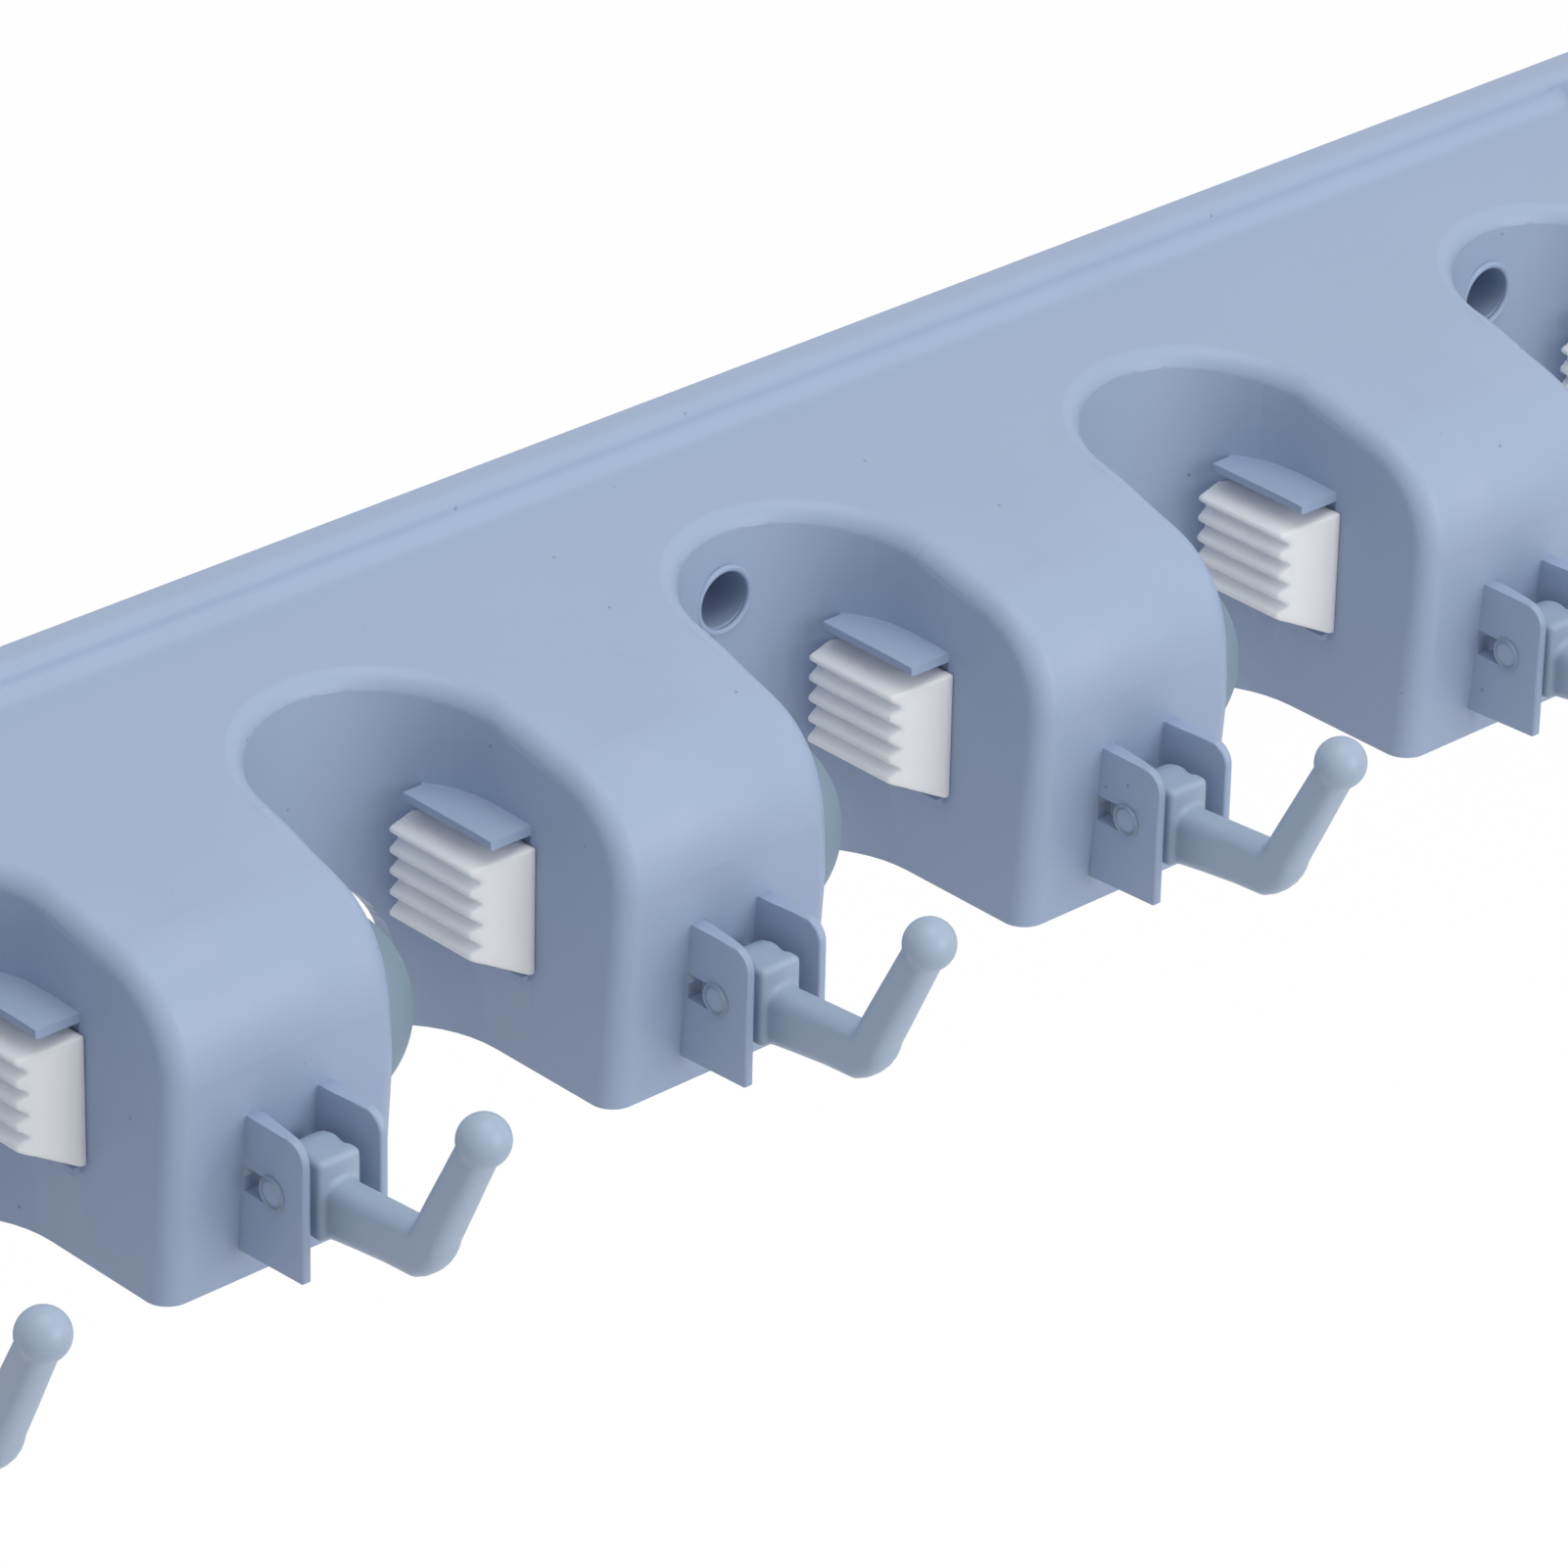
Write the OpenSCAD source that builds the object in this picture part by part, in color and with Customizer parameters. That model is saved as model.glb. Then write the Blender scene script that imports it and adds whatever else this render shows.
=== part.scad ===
// Wall rack for mop and broom handles: a thin moulded shell with slots between hollow towers,
// a ribbed rubber pad and a rolling grip ball facing each other across every slot, and a
// folding hook on the front of each tower.
// Millimetres. X runs along the rack, -Y is the front, +Z is up. The origin is on the wall
// plane, at the middle wall screw.

/* [Rack] */
// Distance from one slot to the next
pitch = 75; // [73:0.5:78]
// Width of a handle slot
slot_w = 37; // [36:0.5:38]
// Number of handle slots
slots = 5; // [3:2:7]
// Width of the two end towers
end_w = 25; // [24:0.5:34]
// Depth from the wall to the foot of the tower fronts
depth = 65; // [64:0.5:70]
// Height from the open bottom to the top edge
height = 60; // [59:0.5:64]
// Thickness of the moulded walls
wall = 2.5; // [2.2:0.1:2.8]
// Forward lean of the tower fronts, in degrees
lean = 4.8; // [3:0.2:6]
// Slope of the roof towards the wall, in degrees
rise = 7.4; // [6:0.1:8]
// Radius of the shoulder from front to roof
shoulder_r = 15; // [14:0.5:17]
// Radius of the slot rims and tower edges
rim_r = 3.5; // [2.5:0.1:4]
// Radius of the corners at the two ends
end_r = 8; // [6:0.5:9]
// Depth of the flange along the wall
flange_d = 5; // [4.5:0.1:6]
// Width of the flange beyond each end
flange_w = 8; // [6:0.5:12]
// Height of the flange above the roof
flange_h = 4.4; // [3.6:0.1:6]
// Radius of the hollow where the roof meets the flange
cove_r = 3; // [2:0.1:3.4]

/* [Slots] */
// Depth of a slot behind the foot of the tower front
slot_d = 41.5; // [40:0.5:44]
// Radius of the arched cut-out at the back of a slot
arch_r = 12.5; // [10:0.1:13]
// Height of the straight sides of the arch
arch_h = 11; // [8:0.2:13]

/* [Wall screws] */
// Height of the screw line above the bottom
screw_z = 41; // [39:0.5:42]
// Diameter of the wells that the screwdriver enters
well_d = 8.4; // [7.6:0.1:9]
// Diameter of the screw holes at the wall
screw_hole_d = 4.4; // [4:0.1:5]
// Thickness of the tube round a well
tube_t = 2; // [1.8:0.1:2.6]
// Thickness of the tube's floor at the wall
floor_t = 3; // [2.4:0.1:4]

/* [Grip ball] */
// Diameter of a grip ball
ball_d = 29; // [28:0.2:29.4]
// Depth of the ball's centre inside the slot wall
ball_in = 1.6; // [1:0.1:2]
// Distance of the ball's centre behind the foot of the front
ball_y = 16.6; // [16.4:0.1:17.4]
// Height of the resting ball's centre above the bottom
ball_z = 23.3; // [23:0.1:24]
// Tilt of the ball's track from upright, in degrees
track_tilt = 38; // [36:1:40]
// Travel of a ball along its track
ball_travel = 9; // [7:0.5:9]
// Running gap round a ball
ball_gap = 0.4; // [0.3:0.05:0.6]
// Thickness of the guide's trough and plate
guide_t = 1.8; // [1.6:0.1:2]

/* [Grip pad] */
// Distance of the pad's front edge behind the foot of the front
pad_y = 14.8; // [14:0.1:15.6]
// Length of the pad along the slot
pad_l = 20; // [19:0.2:20.6]
// Height of the pad's lower edge above the bottom
pad_z = 15; // [14.8:0.1:15.6]
// Height of the pad
pad_h = 18.9; // [18.4:0.1:19.2]
// How far the rib crests stand out of the slot wall
pad_out = 8.5; // [8:0.1:9]
// Thickness of the pad's rim on the slot wall
pad_rim = 1.1; // [0.8:0.1:1.4]
// Depth of the grooves between the ribs
rib_d = 1.8; // [1.2:0.1:2.2]
// Number of ribs
ribs = 5; // [4:1:6]
// Reach of the visor over the pad
visor_out = 7; // [6:0.1:8]
// Thickness of the visor
visor_t = 1.4; // [1.2:0.1:1.6]

/* [Hook] */
// Distance of the hook pin in front of the foot of the tower front
pin_y = 7.1; // [7:0.1:7.6]
// Height of the hook pin above the bottom
pin_z = 16.1; // [15.6:0.1:16.6]
// Diameter of the hook pin
pin_d = 4.4; // [4.2:0.1:4.8]
// Radial clearance of the pin in its hole
pin_gap = 0.08; // [0.04:0.01:0.1]
// Distance across the two ears, outside
ears_w = 14; // [13.6:0.1:15]
// Thickness of an ear at its root
ear_root_t = 2.4; // [2.2:0.1:2.6]
// Thickness of an ear at its front edge
ear_t = 1.3; // [1.2:0.1:1.6]
// Reach of the ears in front of the foot of the tower front
ear_reach = 15; // [14.5:0.5:16]
// Height of the ears' lower edge above the bottom
ear_z = 4.7; // [4.5:0.1:5.5]
// Height of an ear
ear_h = 20.5; // [20:0.1:21.5]
// Width of the hook's head between the ears
head_w = 7; // [6.4:0.1:7.6]
// Diameter of the hook's arm
arm_d = 5.6; // [5.2:0.1:6]
// Reach of the hook's bend in front of its pin
bend_y = 22.3; // [21:0.1:24]
// Slope of the arm up to its bend, in degrees
arm_rise = 4; // [2:0.5:6]
// Lean of the hook's upright end, in degrees
tip_lean = 27; // [24:0.5:30]
// Length of the upright end, from the bend to the tip ball
tip_l = 24.5; // [22:0.1:26]
// Diameter of the ball on the tip
tip_d = 7.2; // [6.6:0.1:8]

/* [Fasteners] */
// Diameter of the guide screw's thread
screw_d = 2.6; // [2.4:0.1:3]
// Length of the guide screw below its head
screw_l = 8; // [7:0.5:10]
// Diameter of the guide screw's head
screw_head_d = 5; // [4.6:0.1:5.2]

/* [Hidden] */
$fn = 96;
cut = 1;                                   // how far a cutter runs past a face
seat = 0.05;                               // gap between fitted faces
blend = 0.004;                             // how far a round crosses the faces it meets
slot_r = slot_w / 2;
slot_cy = slot_d - slot_r;                 // centre of a slot's round end
mid = (slots - 1) / 2;
end_x = mid * pitch + slot_r + end_w;      // outer face of an end tower

// Side profile: y runs back from the foot of the tower front, z up from the bottom
flange_y = depth - flange_d;
roof_off = -flange_y * sin(rise) + (height - flange_h) * cos(rise);
shoulder_z = (roof_off - shoulder_r + shoulder_r * sin(rise) / cos(lean)) /
             (cos(rise) + tan(lean) * sin(rise));
shoulder_y = shoulder_r / cos(lean) - shoulder_z * tan(lean);
face_run = shoulder_z * cos(lean) - shoulder_y * sin(lean);

// Ball track
ball_r = ball_d / 2;
bore_r = ball_r + ball_gap;
track_x = -ball_travel * sin(track_tilt);
track_z = ball_travel * cos(track_tilt);
guide_x0 = -18.5;                          // the guide's plate, from the slot wall inwards
guide_x1 = -wall - 0.4;
plate_z = 2;
boss_z = plate_z + guide_t + seat;
boss_y = 37;
boss_d = 6.4;

function slot_x(j) = (j - mid) * pitch;
function tower_left(k) = k == 0 ? -end_x : slot_x(k - 1) + slot_r;
function tower_right(k) = k == slots ? end_x : slot_x(k) - slot_r;
function tower_mid(k) = (tower_left(k) + tower_right(k)) / 2;
function face_y(z) = -z * tan(lean);
function roof_z(y) = (roof_off + y * sin(rise)) / cos(rise);
function has_well(j) = abs(j - mid) % 2 == 0;
function boss_x(i) = -5.5 - 9.5 * i;

// Moves parts drawn from the foot of the tower fronts and the open bottom to the rack's origin
module from_foot() translate([0, -depth, -screw_z]) children();
// Extrudes a side profile (y, z) along X between two places
module across(x0, x1) translate([x0, 0, 0]) rotate([90, 0, 90]) linear_extrude(x1 - x0) children();
// A rod along +Y
module rod_y(y0, y1, d) translate([0, y0, 0]) rotate([-90, 0, 0]) cylinder(d = d, h = y1 - y0);

// Side outline of the towers, inset by t; it runs open at the bottom and back when t is not zero
module tower_side(t) {
    open = t > 0 ? cut : 0;
    r = shoulder_r - t;
    polygon([
        [t / cos(lean) + open * tan(lean), -open],
        [shoulder_y - r * cos(lean), shoulder_z - r * sin(lean)],
        [shoulder_y, shoulder_z],
        [shoulder_y - r * sin(rise), shoulder_z + r * cos(rise)],
        [flange_y + 0.5, roof_z(flange_y + 0.5) - t / cos(rise)],
        [flange_y + 0.5, -open]]);
    translate([shoulder_y, shoulder_z]) circle(r + blend);
}

// The hollow between the roof and the flange, as the material left under it
module cove_side() {
    cy = flange_y - cove_r;
    cz = (roof_off + cove_r + cy * sin(rise)) / cos(rise);
    difference() {
        polygon([[cy + cove_r * sin(rise), cz - cove_r * cos(rise)],
                 [cy + cove_r * sin(rise), roof_z(cy) - 1],
                 [flange_y + 0.5, roof_z(flange_y) - 1],
                 [flange_y + 0.5, cz],
                 [cy, cz]]);
        translate([cy, cz]) circle(cove_r + blend);
    }
}

// Plan of a slot, widened by t
module slot_plan(t = 0) {
    translate([0, slot_cy]) circle(slot_r + t);
    translate([-slot_r - t, -2 * shoulder_r]) square([2 * (slot_r + t), slot_cy + 2 * shoulder_r]);
}
module slot_column(t = 0) translate([0, 0, -cut]) linear_extrude(height + 2 * cut) slot_plan(t);

// Section of the cutter that rounds an edge: the edge at (0, 0), the body towards (+, -)
module edge_plan(r, over = blend) {
    difference() {
        translate([-cut, -r]) square([r + cut, r + cut]);
        translate([r, -r]) circle(r + over);
    }
}

// Rounds one upright edge of a tower that is inset by t: up the front, over the shoulder and
// back along the roof for a length back. The edge starts at x = 0, the tower on the +X side.
module tower_edge(r, back, t = 0) {
    R = shoulder_r - t;
    translate([t, 0, 0]) {
        rotate([lean, 0, 0]) translate([0, t, -2 * cut])
            linear_extrude(face_run + 3 * cut) mirror([0, 1]) edge_plan(r);
        translate([0, shoulder_y, shoulder_z]) {
            rotate([90, 0, 90]) rotate([0, 0, 90 + rise])
                rotate_extrude(angle = 90 + lean - rise)
                    translate([R + blend / 2, -blend / 2]) mirror([1, -1]) edge_plan(r);
            rotate([rise, 0, 0]) translate([0, back, R]) rotate([90, 0, 0])
                linear_extrude(back + cut) edge_plan(r);
        }
    }
}

// Cuts a slot with its rounded rim
module slot_cut() {
    shift = rim_r * sin(rise) - slot_r * (1 - cos(rise));
    back = (slot_cy - shift - shoulder_y + shoulder_r * sin(rise)) / cos(rise) + 0.01;
    slot_column();
    for (s = [0, 1]) mirror([s, 0, 0]) translate([slot_r, 0, 0]) tower_edge(rim_r, back);
    translate([0, slot_cy - shift, roof_z(slot_cy - shift)]) rotate([rise, 0, 0])
        rotate_extrude(angle = 180) translate([slot_r - 4 * blend, 4 * blend])
            edge_plan(rim_r, 8 * blend);
}

// The whole outside of the towers and roof, inset by t
module towers(t = 0) {
    r = end_r - t;
    back = flange_y - shoulder_y + cut;
    difference() {
        across(-end_x + t, end_x - t) tower_side(t);
        for (s = [0, 1]) mirror([s, 0, 0]) translate([-end_x, 0, 0]) tower_edge(r, back, t);
    }
}

module flange() {
    r = 4;
    w = 2 * (end_x + flange_w);
    translate([0, depth, 0]) rotate([90, 0, 0]) linear_extrude(flange_d) {
        translate([-w / 2, 0]) square([w, height - r]);
        translate([-w / 2 + r, height - 2 * r]) square([w - 2 * r, 2 * r]);
        for (s = [-1, 1]) translate([s * (w / 2 - r), height - r]) circle(r);
    }
}

// The hollow inside: towers, the space behind the slots and the inside of the flange
module hollow() {
    difference() {
        union() {
            towers(wall);
            translate([-end_x + wall, flange_y - 1, -cut])
                cube([2 * (end_x - wall), flange_d + 2, roof_z(flange_y) - wall + cut - 0.4]);
            translate([-end_x - flange_w + wall, flange_y + wall, -cut])
                cube([2 * (end_x + flange_w - wall), flange_d, height - wall + cut]);
        }
        for (j = [0:slots - 1]) translate([slot_x(j), 0, 0]) slot_column(wall);
    }
}

// The space a ball sweeps along its track, from its rest place
module ball_sweep(r) {
    sphere(r);
    translate([track_x, 0, track_z]) sphere(r);
    rotate([0, -track_tilt, 0]) cylinder(r = r, h = ball_travel);
}
module at_ball(j) translate([slot_x(j) - slot_r - ball_in, ball_y, ball_z]) children();

// Outline of an ear (y, z), with its keyhole for the hook's pin
module ear_side() {
    r = 3;
    z1 = ear_z + ear_h;
    difference() {
        union() {
            translate([-ear_reach, ear_z]) square([ear_reach + wall / 2, ear_h - r]);
            translate([-ear_reach + r, ear_z]) square([ear_reach - r + 0.2, ear_h]);
            translate([-ear_reach + r, z1 - r]) circle(r);
        }
        translate([-pin_y, pin_z]) circle(pin_d / 2 + pin_gap);
        translate([-pin_y, pin_z - 2.2]) square([pin_y + face_y(pin_z) - 0.2, 3.8]);
    }
}

// The pair of ears on a tower's front
module ears() {
    half = ears_w / 2;
    for (s = [0, 1]) mirror([s, 0, 0]) intersection() {
        across(half - 4, half) ear_side();
        linear_extrude(height) polygon([
            [half, wall / 2], [half - ear_root_t - 0.6, wall / 2], [half - ear_root_t, -2.4],
            [half - ear_t, -ear_reach], [half, -ear_reach]]);
    }
}

// Visor over a pad and ledge under it; x = 0 on the slot wall, the slot on the -X side
module pad_house() {
    z0 = pad_z + pad_h + 1.6;
    translate([-visor_out, pad_y + 1, z0]) cube([visor_out + 1, pad_l - 2, visor_t]);
    translate([-1.5, pad_y + 1.4, pad_z - 2.6]) cube([2.5, pad_l - 3, 1]);
}

module pad_window(grow = 0) {
    e = 1.4 - grow;
    translate([-7, pad_y + e, pad_z + e]) cube([12, pad_l - 2 * e, pad_h - 2 * e]);
}

module rack_shell() color([0.60, 0.67, 0.78]) from_foot() {
    difference() {
        union() {
            difference() {
                union() {
                    towers();
                    across(-end_x + end_r, end_x - end_r) cove_side();
                    flange();
                }
                hollow();
                for (j = [0:slots - 1]) translate([slot_x(j), 0, 0]) slot_cut();
            }
            for (k = [0:slots]) translate([tower_mid(k), 0, 0]) ears();
            for (j = [0:slots - 1]) translate([slot_x(j), 0, 0]) {
                intersection() {
                    translate([slot_r, 0, 0]) pad_house();
                    slot_column(wall / 2);
                }
                // Lip that keeps the resting ball in its trough
                translate([-slot_r - wall / 2, ball_y - 9, ball_z - 16.2])
                    cube([wall / 2 + 5, 18, 4.6]);
                for (i = [0, 1]) translate([-slot_r + boss_x(i), boss_y, boss_z])
                    cylinder(d = boss_d, h = roof_z(boss_y) - boss_z - wall / 2);
                if (has_well(j)) translate([0, 0, screw_z])
                    rod_y(slot_d + wall / 2, depth, well_d + 2 * tube_t);
            }
        }
        for (j = [0:slots - 1]) translate([slot_x(j), 0, 0]) {
            if (has_well(j)) translate([0, 0, screw_z]) {
                rod_y(slot_cy, depth - floor_t, well_d);
                rod_y(slot_cy, depth + cut, screw_hole_d);
            }
            translate([0, slot_d + wall + 1, 0]) rotate([90, 0, 0]) linear_extrude(slot_r) {
                translate([0, arch_h]) circle(arch_r);
                translate([-arch_r, -cut]) square([2 * arch_r, arch_h + cut]);
            }
            translate([slot_r, 0, 0]) pad_window();
            for (i = [0, 1]) translate([-slot_r + boss_x(i), boss_y, 0])
                cylinder(d = screw_d, h = plate_z + guide_t + screw_l + cut);
        }
        for (j = [0:slots - 1]) intersection() {
            at_ball(j) ball_sweep(bore_r);
            translate([slot_x(j) - slot_r - wall - seat, 0, 0]) cube([slot_r, slot_d, height]);
        }
    }
}

// Ribbed side of the pad (x, z): crests and grooves between the two slopes
module pad_ribs() {
    z0 = pad_z + 3.8;
    step = (pad_h - 6.3) / (ribs - 1);
    crest = 0.35;
    polygon(concat(
        [[4, pad_z], [-pad_rim, pad_z], [-pad_out + rib_d, pad_z + 2.6]],
        [for (i = [0:ribs - 1]) each [
            [-pad_out + (i == 0 ? 1 : rib_d), z0 + i * step - (i == 0 ? 0.9 : step / 2)],
            [-pad_out, z0 + i * step - crest],
            [-pad_out, z0 + i * step + crest]]],
        [[-pad_rim, pad_z + pad_h], [4, pad_z + pad_h]]));
}

module grip_pad(j) color([0.93, 0.94, 0.95]) from_foot() translate([slot_x(j), 0, 0]) {
    y1 = pad_y + pad_l;
    intersection() {
        translate([slot_r, y1, 0]) rotate([90, 0, 0]) linear_extrude(pad_l) pad_ribs();
        translate([slot_r, 0, 0]) linear_extrude(height) polygon([
            [4, pad_y], [-pad_rim, pad_y], [-pad_out, pad_y + 3.5], [-pad_out, y1], [4, y1]]);
        slot_column(-seat);
    }
    intersection() {
        translate([slot_r, 0, 0]) pad_window(-0.3);
        difference() {
            slot_column(wall + 1);
            slot_column(-0.5);
        }
    }
    intersection() {
        translate([slot_r - 7, pad_y + 0.2, pad_z + 0.2]) cube([12, pad_l - 0.4, pad_h - 0.4]);
        difference() {
            slot_column(wall + 1.4);
            slot_column(wall + seat);
        }
    }
}

module grip_ball(j) color([0.56, 0.63, 0.70]) from_foot() at_ball(j) sphere(ball_r);

// Trough under the ball's track, on a plate with two screws
module ball_guide(j) color([0.55, 0.60, 0.66])
    from_foot() translate([slot_x(j) - slot_r, 0, 0]) difference() {
        union() {
            translate([guide_x0, 4, plate_z]) cube([guide_x1 - guide_x0, boss_y, guide_t]);
            intersection() {
                translate([-ball_in, ball_y, ball_z]) rotate([0, -track_tilt, 0]) difference() {
                    translate([0, 0, -12]) cylinder(r = bore_r + guide_t, h = 12 + ball_travel);
                    translate([0, 0, -13]) cylinder(r = bore_r, h = 14 + ball_travel);
                }
                translate([guide_x0, ball_y - 12, plate_z]) cube([guide_x1 - guide_x0, 24, 22]);
            }
            for (y = [ball_y - 8, ball_y + 6]) difference() {
                translate([guide_x0, y, plate_z]) cube([guide_x1 - guide_x0 - 3, 2, 17]);
                translate([-ball_in, ball_y, ball_z]) rotate([0, -track_tilt, 0])
                    translate([0, 0, -40]) cylinder(r = bore_r + guide_t / 2, h = 80);
            }
        }
        for (i = [0, 1]) translate([boss_x(i), boss_y, 0]) cylinder(d = screw_d + 0.4, h = 10);
    }

module guide_screws() color([0.75, 0.75, 0.77]) from_foot() for (j = [0:slots - 1], i = [0, 1])
    translate([slot_x(j) - slot_r + boss_x(i), boss_y, plate_z]) difference() {
        union() {
            cylinder(d = screw_d, h = guide_t + screw_l);
            translate([0, 0, -1.5 - seat]) cylinder(d = screw_head_d, h = 1.5);
            translate([0, 0, -1]) cylinder(d = screw_d, h = 2);
        }
        for (a = [0, 90]) rotate([0, 0, a]) translate([-1.5, -0.35, -2]) cube([3, 0.7, 1.3]);
    }

// The hook: head with two trunnions, arm, bend, upright end and tip ball
module hook(k) color([0.58, 0.65, 0.72])
    from_foot() translate([tower_mid(k), -pin_y, pin_z]) {
        bend_r = 6;
        turn = 90 - tip_lean - arm_rise;
        lead = bend_r * tan(turn / 2);
        arm_z = -1.9;
        arm_l = bend_y / cos(arm_rise) - lead;
        heel = pin_y + face_y(pin_z) - 0.35;
        intersection() {
            across(-head_w / 2, head_w / 2) {
                circle(5.1);
                translate([-5.1, -5.9]) square([10.2, 5.9]);
                polygon([[0, -5.9], [heel + 0.45, -5.9], [heel + 0.1, -2], [0, -1]]);
            }
            translate([0, 0, -7]) linear_extrude(14) difference() {
                square([head_w, 20], center = true);
                for (s = [-1, 1]) translate([s * head_w / 2, -5.1]) rotate(45)
                    square(1.2, center = true);
            }
        }
        rotate([0, 90, 0]) cylinder(d = pin_d, h = ears_w + 0.5, center = true);
        translate([0, 0, arm_z]) rotate([-arm_rise, 0, 0]) {
            rotate([90, 0, 0]) cylinder(d1 = 7.6, d2 = arm_d, h = 11);
            rod_y(-arm_l, -11, arm_d);
            translate([0, -arm_l, bend_r]) rotate([90, 0, -90])
                rotate([0, 0, -90]) rotate_extrude(angle = turn)
                    translate([bend_r, 0]) circle(d = arm_d);
            translate([0, -arm_l, bend_r]) rotate([-turn, 0, 0]) translate([0, 0, -bend_r])
                rotate([90, 0, 0]) rotate(90)
                    cylinder(d1 = arm_d, d2 = arm_d - 0.8, h = tip_l - lead);
            translate([0, -arm_l, bend_r]) rotate([-turn, 0, 0])
                translate([0, -(tip_l - lead), -bend_r]) sphere(d = tip_d);
        }
    }

rack_shell();
for (k = [0:slots]) hook(k);
for (j = [0:slots - 1]) {
    grip_pad(j);
    grip_ball(j);
    ball_guide(j);
}
guide_screws();
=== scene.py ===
"""Dresses the mop and broom wall rack: its shell, hooks, pads, balls, guides and screws.

All lengths are metres in the rack's own frame. X runs along the rack, -Y is the front and +Z is
up. The origin is on the wall plane, at the middle wall screw.
"""

import logging
import math
from collections.abc import Callable, Iterator
from contextlib import contextmanager
from dataclasses import dataclass, field
from enum import Enum

import bpy
from mathutils import Matrix, Vector


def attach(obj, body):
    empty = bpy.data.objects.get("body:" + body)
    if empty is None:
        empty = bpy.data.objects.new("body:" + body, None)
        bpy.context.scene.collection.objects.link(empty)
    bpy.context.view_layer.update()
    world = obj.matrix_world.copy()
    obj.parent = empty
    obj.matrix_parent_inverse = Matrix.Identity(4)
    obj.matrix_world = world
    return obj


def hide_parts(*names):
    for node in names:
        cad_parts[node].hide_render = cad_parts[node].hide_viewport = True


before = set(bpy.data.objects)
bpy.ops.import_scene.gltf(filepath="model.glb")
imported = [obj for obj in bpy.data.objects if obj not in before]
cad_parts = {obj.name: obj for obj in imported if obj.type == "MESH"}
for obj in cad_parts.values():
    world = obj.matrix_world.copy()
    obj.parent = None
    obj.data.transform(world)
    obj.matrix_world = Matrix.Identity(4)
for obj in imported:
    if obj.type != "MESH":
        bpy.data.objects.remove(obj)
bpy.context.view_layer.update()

log = logging.getLogger("rack")
MM = 0.001
# Middles of the slots and of the towers along X, in millimetres
SLOTS = (-150.0, -75.0, 0.0, 75.0, 150.0)
TOWERS = (-181.0, -112.5, -37.5, 37.5, 112.5, 181.0)
# Says whether a point, given in millimetres, lies in some place
Test = Callable[[Vector], bool]


def linear(hex_colour: str) -> tuple[float, float, float, float]:
    """Turns an sRGB hex colour into the linear values that a shader socket takes.

    Args:
        hex_colour: Six hex digits, with or without a leading hash.

    Returns:
        Linear red, green and blue with an alpha of 1.
    """
    digits = hex_colour.lstrip("#")
    channels = [int(digits[i : i + 2], 16) / 255 for i in (0, 2, 4)]
    red, green, blue = (
        c / 12.92 if c <= 0.04045 else ((c + 0.055) / 1.055) ** 2.4 for c in channels
    )
    return red, green, blue, 1.0


def add_node(
    tree: bpy.types.NodeTree,
    kind: str,
    settings: dict[str, object] | None = None,
    links: dict[str | int, bpy.types.NodeSocket] | None = None,
) -> bpy.types.Node:
    """Adds one shader node with its settings and what feeds it.

    Args:
        tree: The node tree that gets the node.
        kind: The node's type name.
        settings: Attribute names, or input socket names, with their values.
        links: Input socket names or numbers with the output that feeds each.

    Returns:
        The new node.
    """
    node = tree.nodes.new(kind)
    for name, value in (settings or {}).items():
        if name in node.inputs:
            node.inputs[name].default_value = value
        else:
            setattr(node, name, value)
    for name, output in (links or {}).items():
        tree.links.new(output, node.inputs[name])
    return node


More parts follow.
